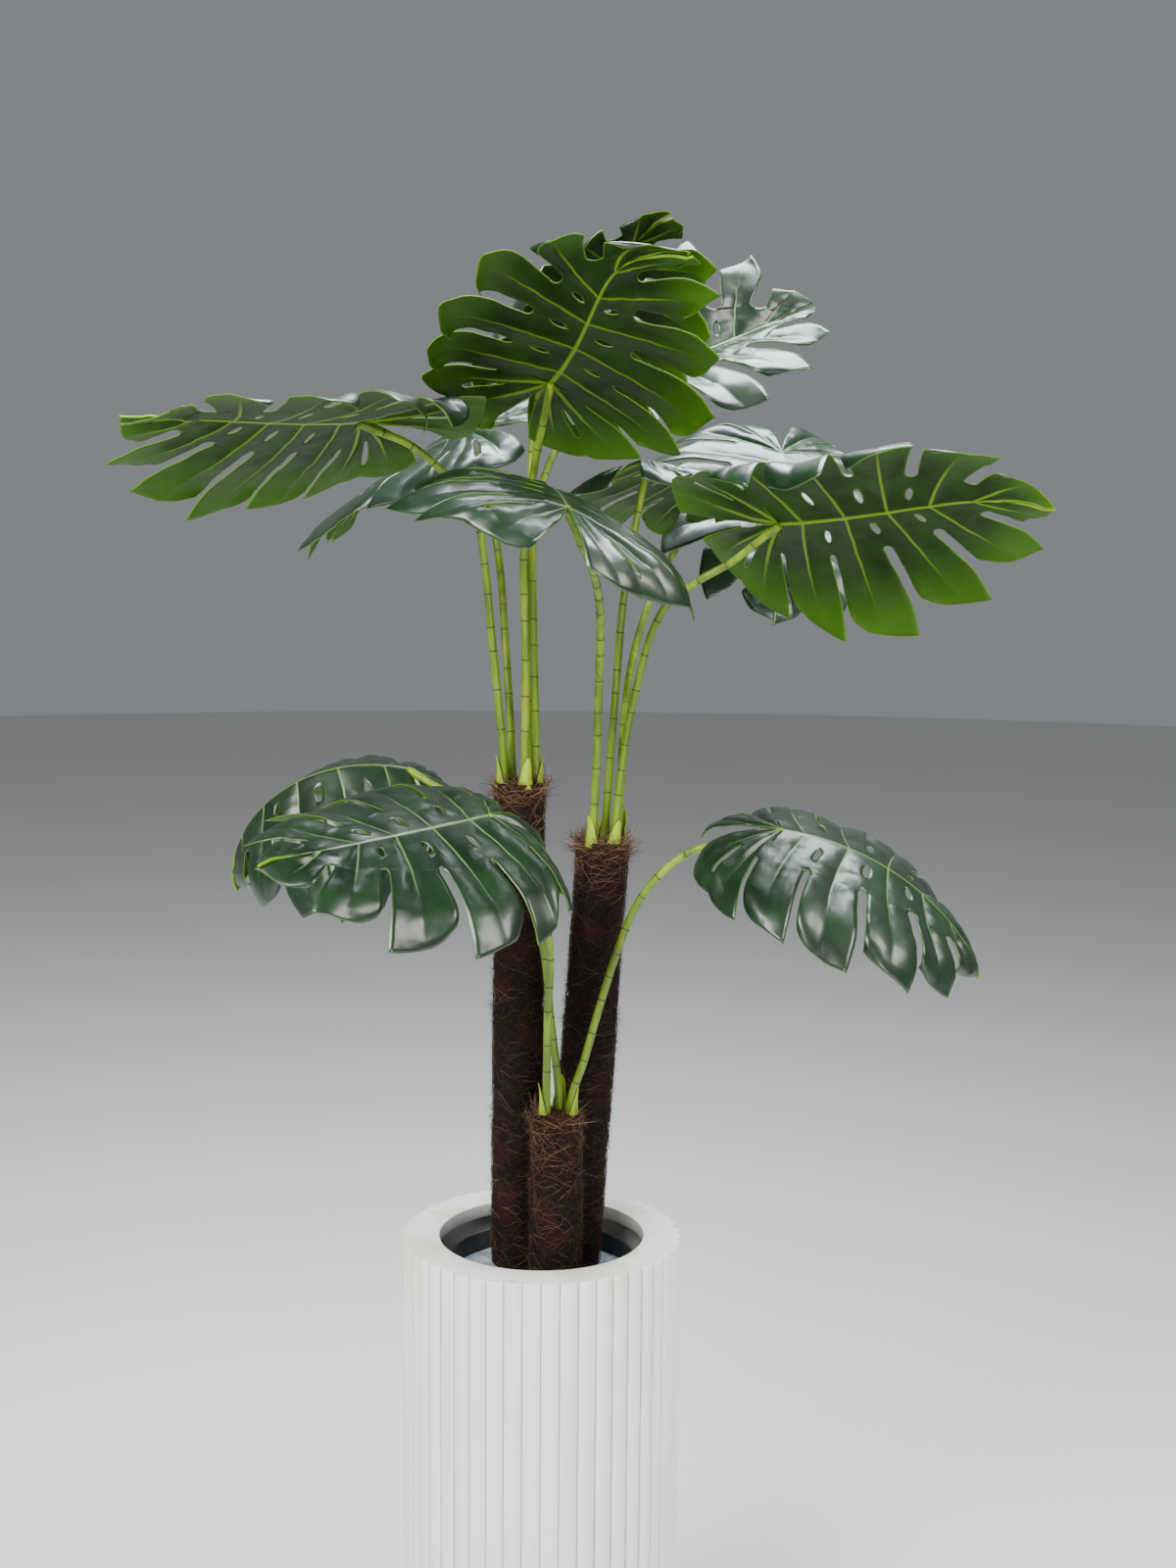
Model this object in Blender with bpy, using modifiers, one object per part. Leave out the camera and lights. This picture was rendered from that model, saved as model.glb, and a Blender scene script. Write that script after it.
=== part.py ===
# A potted artificial monstera: three coir-wrapped trunks with split leaves on jointed
# stalks, in a tall fluted planter. Metres, +Z up, with the origin in the middle of the
# planter's underside and the viewer on the -Y side.

import math

import bmesh
import bpy
from mathutils import Matrix, Vector
from mathutils.geometry import interpolate_bezier

# Clearance between two pieces that touch
GAP = 0.0003

# Planter, closed below, with a shelf inside that carries the nursery pot
PLANTER_HEIGHT = 0.70
PLANTER_RADIUS = 0.180
REED_COUNT = 48
REED_DEPTH = 0.0035
POINTS_PER_REED = 3
OPENING_RADIUS = 0.132
LIP_HEIGHT = 0.018
CAVITY_RADIUS = 0.160
BASE_THICKNESS = 0.020
SHELF_TOP = 0.455
SHELF_THICKNESS = 0.015
DRAIN_RADIUS = 0.014

# Nursery pot
NURSERY_FOOT = SHELF_TOP + GAP
NURSERY_RIM = PLANTER_HEIGHT - 0.030
NURSERY_FOOT_RADIUS = 0.096
NURSERY_RIM_RADIUS = 0.117
NURSERY_WALL = 0.0025
NURSERY_FLOOR = 0.003
NURSERY_LIP = 0.004
NURSERY_LIP_HEIGHT = 0.008

# Hardened fill around the trunks' poles
FILL_TOP = PLANTER_HEIGHT - 0.050
POLE_FOOT = 0.500
POLE_RADIUS = 0.026

# Trunks: where the axis crosses the pole's foot and the top, and the coir sleeves from
# the lowest up as (height of the upper end, radius)
TRUNKS = {
    "left": dict(
        foot=(-0.031, 0.020, POLE_FOOT), top=(-0.031, 0.020, 1.286),
        sleeves=((0.85, 0.0340), (0.99, 0.0330), (1.286, 0.0318)),
    ),
    "right": dict(
        foot=(0.032, 0.024, POLE_FOOT), top=(0.076, 0.030, 1.210),
        sleeves=((0.98, 0.0345), (1.210, 0.0330)),
    ),
    "front": dict(
        foot=(0.018, -0.046, POLE_FOOT), top=(0.018, -0.046, 0.875),
        sleeves=((0.79, 0.0335), (0.875, 0.0325)),
    ),
}
COIR_CLEARANCE = 0.003
SLEEVE_STEP = 0.003

# Stalks and the short neck that each leaf has for its stalk
STALK_RADIUS = 0.0052
STALK_TIP_SHARE = 0.87
STALK_STEP = 0.045
SOCKET_DEPTH = 0.020
SHEATH_HEIGHT = 0.045
SHEATH_SHARE = 1.6
NECK_RADIUS = 0.0046
NECK_BELOW_LEAF = 0.003
NECK_INTO_LEAF = 0.002
STRAIGHT_END = 0.010

# Leaf outline, for a leaf of size 1, from the junction with the stalk
HALF_WIDTH = 0.195
TIP_REACH = 0.325
LOBE_REACH = 0.125
WIDEST_AT = 0.070
SINUS_TURN = math.radians(173)

# Each half has its lobes in order from the sinus to the tip. The veins of the first ones
# start at the junction, and the others along the midrib.
LOBES = 7
LOBES_AT_JUNCTION = 2
MIDRIB_SHARE = 0.84
VEIN_BOW = 0.10

# Cuts between lobes: start and end as shares of the way out, and half width as a share
# of a lobe. A cut that ends at 1 opens at the edge, and the others are long holes.
CUTS = {
    1: (0.42, 0.74, 0.12),
    2: (0.42, 0.82, 0.08),
    3: (0.40, 0.86, 0.10),
    4: (0.36, 1.00, 0.12),
    5: (0.34, 1.00, 0.13),
    6: (0.40, 1.00, 0.12),
}
LOBE_COLUMNS = 2
PLAIN_ROWS = (0.0, 0.20, 0.42, 0.62, 0.82, 1.0)
CORNER_OUT = 0.06
CORNER_BACK = 0.07

# Leaf thickness at the midrib, at a vein and between the veins, and its waves
MIDRIB_THICKNESS = 0.0032
VEIN_THICKNESS = 0.0020
BLADE_THICKNESS = 0.0011
VEIN_SINK = 0.004
EDGE_WAVE = 0.005

# Leaves. "foot" is where the stalk stands on the top of its trunk, from the trunk's axis,
# and "way" is what it passes on its way to the junction. Heading, rise and roll aim the
# leaf, in degrees; droop bends its tip down and lobe_droop its lobes; fold and arch, left
# and right of the midrib, lower its sides; neck is the length of the stalk's last joint.
LEAVES = {
    "top_front": dict(
        trunk="left", foot=(0.007, -0.019), neck=0.018,
        way=((-0.024, -0.020, 1.472), (-0.026, -0.044, 1.575), (-0.015, -0.074, 1.669)),
        junction=(0.005, -0.125, 1.775), heading=-60, rise=22, roll=-20, size=0.93,
        droop=-2, lobe_droop=12, fold=(-8, -10), arch=(32, 32),
    ),
    "top_back": dict(
        trunk="left", foot=(0.021, 0.000), neck=0.018,
        way=((-0.014, 0.028, 1.469), (-0.016, 0.037, 1.573), (-0.017, 0.053, 1.713)),
        junction=(-0.005, 0.070, 1.815), heading=-57, rise=40, roll=-7, size=0.95,
        droop=23, lobe_droop=8, fold=(0, -6), arch=(77, 74),
    ),
    "upper_right": dict(
        trunk="left", foot=(0.011, 0.019), neck=0.018,
        way=((-0.016, 0.060, 1.467), (-0.017, 0.100, 1.578), (0.010, 0.162, 1.700)),
        junction=(0.100, 0.260, 1.802), heading=26, rise=18, roll=41, size=0.96,
        droop=-9, lobe_droop=-12, fold=(-33, -34), arch=(18, 17),
    ),
    "left_front": dict(
        trunk="left", foot=(-0.020, -0.005), neck=0.024,
        way=((-0.066, 0.000, 1.471), (-0.076, -0.018, 1.574), (-0.083, -0.027, 1.614),
             (-0.120, -0.043, 1.668), (-0.167, -0.059, 1.706)),
        junction=(-0.222, -0.079, 1.730), heading=229, rise=-4, roll=19, size=1.02,
        droop=-5, lobe_droop=35, fold=(9, 8), arch=(-6, 2),
    ),
    "left_back": dict(
        trunk="left", foot=(-0.010, 0.017), neck=0.018,
        way=((-0.051, 0.074, 1.466), (-0.061, 0.117, 1.571), (-0.089, 0.180, 1.692)),
        junction=(-0.108, 0.209, 1.729), heading=140, rise=-13, roll=-26, size=1.00,
        droop=27, lobe_droop=29, fold=(2, 3), arch=(-8, -4),
    ),
    "middle_front": dict(
        trunk="right", foot=(-0.014, -0.018), neck=0.018,
        way=((0.066, -0.070, 1.419), (0.064, -0.160, 1.510), (0.052, -0.270, 1.565),
             (0.038, -0.365, 1.592)),
        junction=(0.023, -0.407, 1.631), heading=93, rise=8, roll=24, size=0.99,
        droop=7, lobe_droop=45, fold=(1, -3), arch=(51, 27),
    ),
    "right_front": dict(
        trunk="right", foot=(0.012, -0.016), neck=0.024,
        way=((0.115, -0.010, 1.412), (0.147, -0.034, 1.510), (0.181, -0.047, 1.540),
             (0.225, -0.064, 1.567)),
        junction=(0.279, -0.096, 1.614), heading=-31, rise=3, roll=-37, size=0.99,
        droop=-2, lobe_droop=-2, fold=(-12, -12), arch=(45, 53),
    ),
    "middle_back": dict(
        trunk="right", foot=(0.002, 0.018), neck=0.018,
        way=((0.091, 0.044, 1.407), (0.098, 0.040, 1.506), (0.112, 0.034, 1.605)),
        junction=(0.128, 0.030, 1.691), heading=65, rise=-8, roll=-5, size=0.78,
        droop=15, lobe_droop=38, fold=(19, 19), arch=(-9, -6),
    ),
    "right_back": dict(
        trunk="right", foot=(0.019, 0.006), neck=0.018,
        way=((0.108, 0.100, 1.402), (0.137, 0.190, 1.500), (0.176, 0.290, 1.568),
             (0.206, 0.360, 1.603), (0.285, 0.420, 1.675)),
        junction=(0.337, 0.397, 1.713), heading=-95, rise=-32, roll=-9, size=0.99,
        droop=24, lobe_droop=11, fold=(6, 5), arch=(7, 4),
    ),
    "low_left": dict(
        trunk="front", foot=(-0.013, -0.006), neck=0.018,
        way=((0.006, -0.073, 1.002), (0.007, -0.111, 1.109), (-0.017, -0.158, 1.202)),
        junction=(-0.063, -0.212, 1.279), heading=217, rise=-6, roll=-23, size=0.91,
        droop=-3, lobe_droop=73, fold=(9, 6), arch=(11, 14),
    ),
    "low_left_back": dict(
        trunk="front", foot=(0.003, 0.014), neck=0.018,
        way=((0.010, -0.034, 0.992), (-0.002, -0.038, 1.093), (-0.042, -0.038, 1.200),
             (-0.105, -0.008, 1.265)),
        junction=(-0.171, 0.028, 1.302), heading=188, rise=13, roll=-26, size=1.05,
        droop=89, lobe_droop=67, fold=(20, 21), arch=(18, 22),
    ),
    "low_right": dict(
        trunk="front", foot=(0.018, -0.006), neck=0.024,
        way=((0.053, -0.053, 0.947), (0.069, -0.056, 1.008), (0.095, -0.061, 1.094),
             (0.117, -0.065, 1.148), (0.155, -0.072, 1.196), (0.184, -0.080, 1.216)),
        junction=(0.287, -0.118, 1.249), heading=-11, rise=-7, roll=19, size=0.97,
        droop=60, lobe_droop=35, fold=(7, 6), arch=(26, 2),
    ),
}

# Finishes: linear colour and roughness
FINISHES = {
    "planter": ((0.74, 0.72, 0.67), 0.75),
    "nursery_pot": ((0.015, 0.015, 0.017), 0.55),
    "fill": ((0.12, 0.13, 0.14), 0.90),
    "trunk": ((0.030, 0.014, 0.008), 0.95),
    "stalk": ((0.30, 0.42, 0.03), 0.45),
    "blade": ((0.012, 0.075, 0.016), 0.30),
}

TURN_STEPS = 48
TRUNK_STEPS = 20
SOCKET_SIDES = 12
STALK_SIDES = 8


def clear_scene():
    for obj in list(bpy.data.objects):
        bpy.data.objects.remove(obj)


def new_collection(name):
    collection = bpy.data.collections.new(name)
    bpy.context.scene.collection.children.link(collection)
    return collection


def add_object(name, data, collection, frame=None, finish=None):
    obj = bpy.data.objects.new(name, data)
    collection.objects.link(obj)
    if frame is not None:
        obj.matrix_world = frame
    if finish is not None:
        colour, roughness = FINISHES[finish]
        material = bpy.data.materials.new(name + "_finish")
        material.use_nodes = True
        shader = material.node_tree.nodes["Principled BSDF"]
        shader.inputs["Base Color"].default_value = (*colour, 1)
        shader.inputs["Roughness"].default_value = roughness
        shader.inputs["Metallic"].default_value = 0
        data.materials.append(material)
    return obj


def mesh_from(bm, name):
    mesh = bpy.data.meshes.new(name)
    bm.to_mesh(mesh)
    bm.free()
    return mesh


def round_shading(mesh):
    mesh.shade_smooth()
    mesh.set_sharp_from_angle(angle=math.radians(35))


def boolean(obj, tool, operation):
    """Cut or join with another object, which then only guides."""
    tool.hide_render = True
    tool.display_type = "WIRE"
    modifier = obj.modifiers.new(operation.lower(), "BOOLEAN")
    modifier.operation = operation
    modifier.solver = "EXACT"
    modifier.object = tool


def turned(name, profile, steps, collection, frame=None, finish=None):
    """A solid turned from a profile of (radius, height) points that ends on the axis."""
    bm = bmesh.new()
    points = [bm.verts.new((radius, 0, height)) for radius, height in profile]
    for upper, lower in zip(points, points[1:]):
        bm.edges.new((upper, lower))
    obj = add_object(name, mesh_from(bm, name), collection, frame, finish)
    screw = obj.modifiers.new("turn", "SCREW")
    screw.steps = steps
    screw.render_steps = steps
    screw.use_merge_vertices = True
    screw.merge_threshold = 0.00001
    return obj


def rod(name, radius, start, end, sides, collection):
    """A straight round rod between two points."""
    way = end - start
    bm = bmesh.new()
    bmesh.ops.create_cone(
        bm, cap_ends=True, segments=sides, radius1=radius, radius2=radius, depth=way.length)
    turn = way.to_track_quat("Z", "Y").to_matrix().to_4x4()
    frame = Matrix.Translation((start + end) / 2) @ turn
    return add_object(name, mesh_from(bm, name), collection, frame)


# Planter, nursery pot and fill


def make_planter(parts, cutters):
    """A cylinder whose wall swells into reeds, hollowed above and below its shelf."""
    bm = bmesh.new()
    bmesh.ops.create_cone(
        bm, cap_ends=True, segments=REED_COUNT * POINTS_PER_REED, radius1=PLANTER_RADIUS,
        radius2=PLANTER_RADIUS, depth=PLANTER_HEIGHT)
    for vert in bm.verts:
        reeds = REED_COUNT * math.atan2(vert.co.y, vert.co.x) / math.tau
        if abs(reeds - round(reeds)) < 0.5 / POINTS_PER_REED:
            vert.co.xy *= 1 - REED_DEPTH / PLANTER_RADIUS
        vert.co.z += PLANTER_HEIGHT / 2
    mesh = mesh_from(bm, "planter")
    round_shading(mesh)
    planter = add_object("planter", mesh, parts, finish="planter")
    shelf_underside = SHELF_TOP - SHELF_THICKNESS
    cavity = turned("planter_cavity", [
        (0, PLANTER_HEIGHT + 0.01),
        (OPENING_RADIUS, PLANTER_HEIGHT + 0.01),
        (OPENING_RADIUS, PLANTER_HEIGHT - LIP_HEIGHT),
        (CAVITY_RADIUS, PLANTER_HEIGHT - LIP_HEIGHT),
        (CAVITY_RADIUS, SHELF_TOP),
        (DRAIN_RADIUS, SHELF_TOP),
        (DRAIN_RADIUS, shelf_underside),
        (CAVITY_RADIUS, shelf_underside),
        (CAVITY_RADIUS, BASE_THICKNESS),
        (0, BASE_THICKNESS),
    ], TURN_STEPS, cutters)
    boolean(planter, cavity, "DIFFERENCE")


def nursery_radius(height):
    """Outer radius of the nursery pot's tapered wall."""
    share = (height - NURSERY_FOOT) / (NURSERY_RIM - NURSERY_FOOT)
    return NURSERY_FOOT_RADIUS + (NURSERY_RIM_RADIUS - NURSERY_FOOT_RADIUS) * share


def make_nursery_pot(parts):
    floor = NURSERY_FOOT + NURSERY_FLOOR
    lip_foot = NURSERY_RIM - NURSERY_LIP_HEIGHT
    turned("nursery_pot", [
        (0, floor),
        (nursery_radius(floor) - NURSERY_WALL, floor),
        (nursery_radius(NURSERY_RIM) - NURSERY_WALL, NURSERY_RIM),
        (nursery_radius(NURSERY_RIM) + NURSERY_LIP, NURSERY_RIM),
        (nursery_radius(NURSERY_RIM) + NURSERY_LIP, lip_foot),
        (nursery_radius(lip_foot), lip_foot),
        (NURSERY_FOOT_RADIUS, NURSERY_FOOT),
        (0, NURSERY_FOOT),
    ], TURN_STEPS, parts, finish="nursery_pot")


def make_fill(parts, cutters):
    foot = NURSERY_FOOT + NURSERY_FLOOR + GAP
    inset = NURSERY_WALL + GAP
    fill = turned("fill", [
        (0, FILL_TOP),
        (nursery_radius(FILL_TOP) - inset, FILL_TOP),
        (nursery_radius(foot) - inset, foot),
        (0, foot),
    ], TURN_STEPS, parts, finish="fill")
    for name, trunk in TRUNKS.items():
        hole = turned("fill_hole_" + name, [
            (0, FILL_TOP - POLE_FOOT + 0.02),
            (POLE_RADIUS + GAP, FILL_TOP - POLE_FOOT + 0.02),
            (POLE_RADIUS + GAP, -GAP),
            (0, -GAP),
        ], TRUNK_STEPS, cutters, trunk_frame(trunk))
        boolean(fill, hole, "DIFFERENCE")


# Trunks


def trunk_frame(trunk):
    """A frame at the pole's foot whose Z axis is the trunk's axis."""
    foot, top = Vector(trunk["foot"]), Vector(trunk["top"])
    turn = Vector((0, 0, 1)).rotation_difference(top - foot).to_matrix().to_4x4()
    return Matrix.Translation(foot) @ turn


def trunk_length(trunk):
    return (Vector(trunk["top"]) - Vector(trunk["foot"])).length


def stalk_foot(leaf):
    """Where a stalk leaves the top of its trunk, and the direction in which it does."""
    trunk = TRUNKS[leaf["trunk"]]
    frame = trunk_frame(trunk)
    return frame @ Vector((*leaf["foot"], trunk_length(trunk))), frame.col[2].xyz


def make_trunk(name, parts, cutters):
    """A pole wrapped in coir sleeves, with a socket in its top for each of its stalks."""
    trunk = TRUNKS[name]
    stretch = trunk_length(trunk) / (trunk["top"][2] - trunk["foot"][2])
    profile = [(0, trunk_length(trunk))]
    # From the top sleeve down, each one widens from the one above over a short step
    for height, radius in reversed(trunk["sleeves"]):
        end = (height - POLE_FOOT) * stretch
        if len(profile) > 1:
            profile.append((profile[-1][0], end))
            end -= SLEEVE_STEP
        profile.append((radius, end))
    coir_foot = (FILL_TOP + COIR_CLEARANCE - POLE_FOOT) * stretch
    profile += [
        (profile[-1][0], coir_foot),
        (POLE_RADIUS, coir_foot),
        (POLE_RADIUS, 0),
        (0, 0),
    ]
    post = turned("trunk_" + name, profile, TRUNK_STEPS, parts, trunk_frame(trunk), "trunk")
    socket_radius = (STALK_RADIUS + GAP) / math.cos(math.pi / SOCKET_SIDES)
    for leaf_name, leaf in LEAVES.items():
        if leaf["trunk"] == name:
            foot, up = stalk_foot(leaf)
            socket = rod("socket_" + leaf_name, socket_radius, foot - up * SOCKET_DEPTH,
                         foot + up * 0.01, SOCKET_SIDES, cutters)
            boolean(post, socket, "DIFFERENCE")


# Stalks


def leaf_frame(leaf):
    """The leaf's frame: X to its right, Y to its tip and Z out of its upper side."""
    heading = Matrix.Rotation(math.radians(leaf["heading"] - 90), 4, "Z")
    rise = Matrix.Rotation(math.radians(leaf["rise"]), 4, "X")
    roll = Matrix.Rotation(math.radians(leaf["roll"]), 4, "Y")
    return Matrix.Translation(leaf["junction"]) @ heading @ rise @ roll


def neck_line(leaf):
    """Where the neck's axis meets the leaf, and the direction in which it arrives."""
    target = leaf_frame(leaf) @ Vector((0, 0, -NECK_BELOW_LEAF))
    return target, (target - Vector(leaf["way"][-1])).normalized()


def smooth_path(knots):
    """Points along a smooth curve through the knots, about a stalk's step apart."""
    chords = [(end - start).normalized() for start, end in zip(knots, knots[1:])]
    ways = [chords[0]]
    for before, after in zip(chords, chords[1:]):
        ways.append((before + after).normalized())
    ways.append(chords[-1])
    path = []
    for number, (start, end) in enumerate(zip(knots, knots[1:])):
        length = (end - start).length
        points = max(2, round(length / STALK_STEP) + 1)
        path += interpolate_bezier(
            start, start + ways[number] * length / 3,
            end - ways[number + 1] * length / 3, end, points)[:-1]
    return path + [knots[-1]]


def make_stalk(name, parts):
    """A tapered tube with a plug in the trunk and a wide sheath just above it."""
    leaf = LEAVES[name]
    foot, up = stalk_foot(leaf)
    target, arrival = neck_line(leaf)
    end = target - arrival * (leaf["neck"] + GAP)
    path = smooth_path([
        foot + up * 2 * GAP, foot + up * SHEATH_HEIGHT / 3, foot + up * SHEATH_HEIGHT,
        *(Vector(point) for point in leaf["way"]), end - arrival * STRAIGHT_END, end])
    path = [foot - up * (SOCKET_DEPTH - GAP), foot + up * GAP, *path]
    curve = bpy.data.curves.new("petiole_" + name, "CURVE")
    curve.dimensions = "3D"
    curve.bevel_depth = STALK_RADIUS
    curve.bevel_resolution = (STALK_SIDES - 4) // 2
    curve.use_fill_caps = True
    spline = curve.splines.new("POLY")
    spline.points.add(len(path) - 1)
    length = sum((b - a).length for a, b in zip(path, path[1:]))
    done = 0
    for number, place in enumerate(path):
        if number:
            done += (place - path[number - 1]).length
        share = 1 + (STALK_TIP_SHARE - 1) * done / length
        above = (place - foot).dot(up)
        if number > 1 and above < SHEATH_HEIGHT:
            share *= 1 + (SHEATH_SHARE - 1) * (1 - above / SHEATH_HEIGHT)
        point = spline.points[number]
        point.co = (*place, 1)
        point.radius = share
    add_object("petiole_" + name, curve, parts, finish="stalk")


# Leaves


def edge_point(s):
    """The outline of a right half at s lobes from the sinus."""
    turn = SINUS_TURN * (1 - s / LOBES)
    if turn < math.pi / 2:
        x = HALF_WIDTH * math.sin(turn) ** 1.2
        y = WIDEST_AT + (TIP_REACH - WIDEST_AT) * math.cos(turn)
    else:
        x = HALF_WIDTH * math.sin(turn) ** 0.85
        y = WIDEST_AT + (WIDEST_AT + LOBE_REACH) * math.cos(turn)
    return Vector((x, y))


def vein_root(s):
    """Where on the midrib the way out at s starts."""
    along = max(0, s - LOBES_AT_JUNCTION) / (LOBES - LOBES_AT_JUNCTION)
    return Vector((0, MIDRIB_SHARE * TIP_REACH * along ** 0.95))


def flat_point(s, t, reach):
    """The flat leaf at share t of the bowed way out at s, with its end moved by reach."""
    root = vein_root(s)
    way = edge_point(s) - root
    bow = VEIN_BOW * (1 - (s / LOBES) ** 4)
    middle = way / 2 + bow * Vector((way.y, -way.x))
    return root + (2 * t * (1 - t) * middle + t * t * way) * (1 + reach)


def cut_rows(number):
    """The rows beside the boundary below lobe number, as (share out, half width)."""
    if number not in CUTS:
        return [(row, 0) for row in PLAIN_ROWS]
    start, end, width = CUTS[number]
    if end == 1:
        rows = (0, start, start + 0.08, (start + 1) / 2, 0.84, 1)
        widths = (0, 0, 0.8, 1, 1.15, 1.4)
    else:
        third = (end - start) / 3
        rows = (0, start, start + third, end - third, end, 1)
        widths = (0, 0, 1, 1, 0, 0)
    return [(row, width * share) for row, share in zip(rows, widths)]


def corner_reach(lobe, rho, t):
    """How far open cuts push a lobe's upper corner out and draw its lower one back."""
    reach = 0
    start, end, _ = CUTS.get(lobe + 1, (0, 0, 0))
    if end == 1:
        reach += CORNER_OUT * rho ** 2 * max(0, (t - start) / (1 - start)) ** 3
    start, end, _ = CUTS.get(lobe, (0, 0, 0))
    if end == 1:
        reach -= CORNER_BACK * (1 - rho) ** 3 * max(0, (t - start) / (1 - start)) ** 3
    return reach


def bent_point(leaf, side, flat, relief):
    """A point of the flat leaf after the leaf folds, arches and droops."""
    half = 0 if side < 0 else 1
    fold = math.radians(leaf["fold"][half])
    arch = math.radians(leaf["arch"][half])
    lean = fold + arch * flat.x / HALF_WIDTH
    across = HALF_WIDTH / arch * (math.sin(lean) - math.sin(fold))
    height = HALF_WIDTH / arch * (math.cos(lean) - math.cos(fold))
    across += relief * math.sin(lean)
    height += relief * math.cos(lean)
    if flat.y >= 0:
        bend = math.radians(leaf["droop"]) / TIP_REACH
    else:
        bend = math.radians(leaf["lobe_droop"]) / LOBE_REACH
    turn = bend * flat.y
    along = math.sin(turn) / bend + height * math.sin(turn)
    up = (math.cos(turn) - 1) / bend + height * math.cos(turn)
    return Vector((side * across, along, up)) * leaf["size"]


def ridge_weight(lobe, rho, t):
    """0 where the leaf is as thin as between its veins, and 1 where as thick as its midrib."""
    if t == 0:
        return 1
    if lobe == LOBES - 1 and rho == 1:
        return 1 - t
    vein = (VEIN_THICKNESS - BLADE_THICKNESS) / (MIDRIB_THICKNESS - BLADE_THICKNESS)
    return vein * math.sin(math.pi * rho) * (1 - t)


def leaf_sheet(leaf):
    """The leaf's upper side, in its own frame, with the ridge weights of its points."""
    bm = bmesh.new()
    weights = bm.verts.layers.deform.verify()
    phase = math.radians(leaf["heading"])
    for side in (-1, 1):
        for lobe in range(LOBES):
            below, above = cut_rows(lobe), cut_rows(lobe + 1)
            grid = []
            for column in range(LOBE_COLUMNS + 1):
                rho = column / LOBE_COLUMNS
                line = []
                for (low_t, low_cut), (high_t, high_cut) in zip(below, above):
                    t = low_t + (high_t - low_t) * rho
                    s = lobe + low_cut + (1 - low_cut - high_cut) * rho
                    relief = EDGE_WAVE * t ** 1.5 * math.sin(math.pi * s + phase)
                    relief -= VEIN_SINK * math.sin(math.pi * rho) * 4 * t * (1 - t)
                    flat = flat_point(s, t, corner_reach(lobe, rho, t))
                    vert = bm.verts.new(bent_point(leaf, side, flat, relief))
                    vert[weights][0] = ridge_weight(lobe, rho, t)
                    line.append(vert)
                grid.append(line)
            for low, high in zip(grid, grid[1:]):
                for row in range(len(low) - 1):
                    corners = (low[row], low[row + 1], high[row + 1], high[row])
                    bm.faces.new(corners[::side])
    bmesh.ops.remove_doubles(bm, verts=bm.verts, dist=0.00002)
    bmesh.ops.triangulate(bm, faces=bm.faces)
    return bm


def make_blade(name, parts, cutters):
    """A leaf's sheet with its thickness below, joined to the neck for its stalk."""
    leaf = LEAVES[name]
    mesh = mesh_from(leaf_sheet(leaf), "blade_" + name)
    round_shading(mesh)
    blade = add_object("blade_" + name, mesh, parts, leaf_frame(leaf), "blade")
    ridges = blade.vertex_groups.new(name="ridges")
    shell = blade.modifiers.new("thickness", "SOLIDIFY")
    shell.thickness = MIDRIB_THICKNESS
    shell.offset = -1
    shell.vertex_group = ridges.name
    shell.thickness_vertex_group = BLADE_THICKNESS / MIDRIB_THICKNESS
    target, arrival = neck_line(leaf)
    neck = rod("neck_" + name, NECK_RADIUS, target - arrival * leaf["neck"],
               target + arrival * NECK_INTO_LEAF, STALK_SIDES, cutters)
    boolean(blade, neck, "UNION")


def main():
    clear_scene()
    parts = new_collection("potted_monstera")
    cutters = new_collection("cutters")
    make_planter(parts, cutters)
    make_nursery_pot(parts)
    make_fill(parts, cutters)
    for name in TRUNKS:
        make_trunk(name, parts, cutters)
    for name in LEAVES:
        make_stalk(name, parts)
        make_blade(name, parts, cutters)


main()
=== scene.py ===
# Looks of a potted artificial monstera: fine leaves, ringed stalks, coir-wrapped trunks
# and a fluted planter. Metres, +Z up, with the viewer on the -Y side.

import math
import random

import bmesh
import bpy
from mathutils import Matrix, Vector, kdtree, noise
from mathutils.geometry import interpolate_bezier


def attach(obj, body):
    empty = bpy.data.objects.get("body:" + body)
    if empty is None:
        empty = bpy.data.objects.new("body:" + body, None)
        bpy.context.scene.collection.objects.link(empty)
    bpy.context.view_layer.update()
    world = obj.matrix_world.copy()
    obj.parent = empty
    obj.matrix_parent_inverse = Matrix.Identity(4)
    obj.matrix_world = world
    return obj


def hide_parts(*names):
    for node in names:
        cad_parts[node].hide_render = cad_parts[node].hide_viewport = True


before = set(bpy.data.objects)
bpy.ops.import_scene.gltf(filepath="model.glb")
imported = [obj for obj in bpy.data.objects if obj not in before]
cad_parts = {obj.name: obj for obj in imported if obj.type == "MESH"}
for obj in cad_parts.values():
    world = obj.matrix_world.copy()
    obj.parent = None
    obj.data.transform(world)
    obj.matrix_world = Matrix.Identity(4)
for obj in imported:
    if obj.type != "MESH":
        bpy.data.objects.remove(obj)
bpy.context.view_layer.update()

# Planter, as in the solids
PLANTER_HEIGHT = 0.70
PLANTER_RADIUS = 0.180
REED_COUNT = 48
REED_DEPTH = 0.0045
OPENING_RADIUS = 0.132
LIP_HEIGHT = 0.018
CAVITY_RADIUS = 0.160
BASE_THICKNESS = 0.020
SHELF_TOP = 0.455
SHELF_THICKNESS = 0.015
DRAIN_RADIUS = 0.014
POINTS_PER_REED = 10

# Nursery pot and fill
NURSERY_FOOT = SHELF_TOP + 0.0003
NURSERY_RIM = PLANTER_HEIGHT - 0.030
NURSERY_FOOT_RADIUS = 0.096
NURSERY_RIM_RADIUS = 0.117
NURSERY_WALL = 0.0025
NURSERY_FLOOR = 0.003
NURSERY_LIP = 0.004
NURSERY_LIP_HEIGHT = 0.008
FILL_TOP = PLANTER_HEIGHT - 0.050

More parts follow.
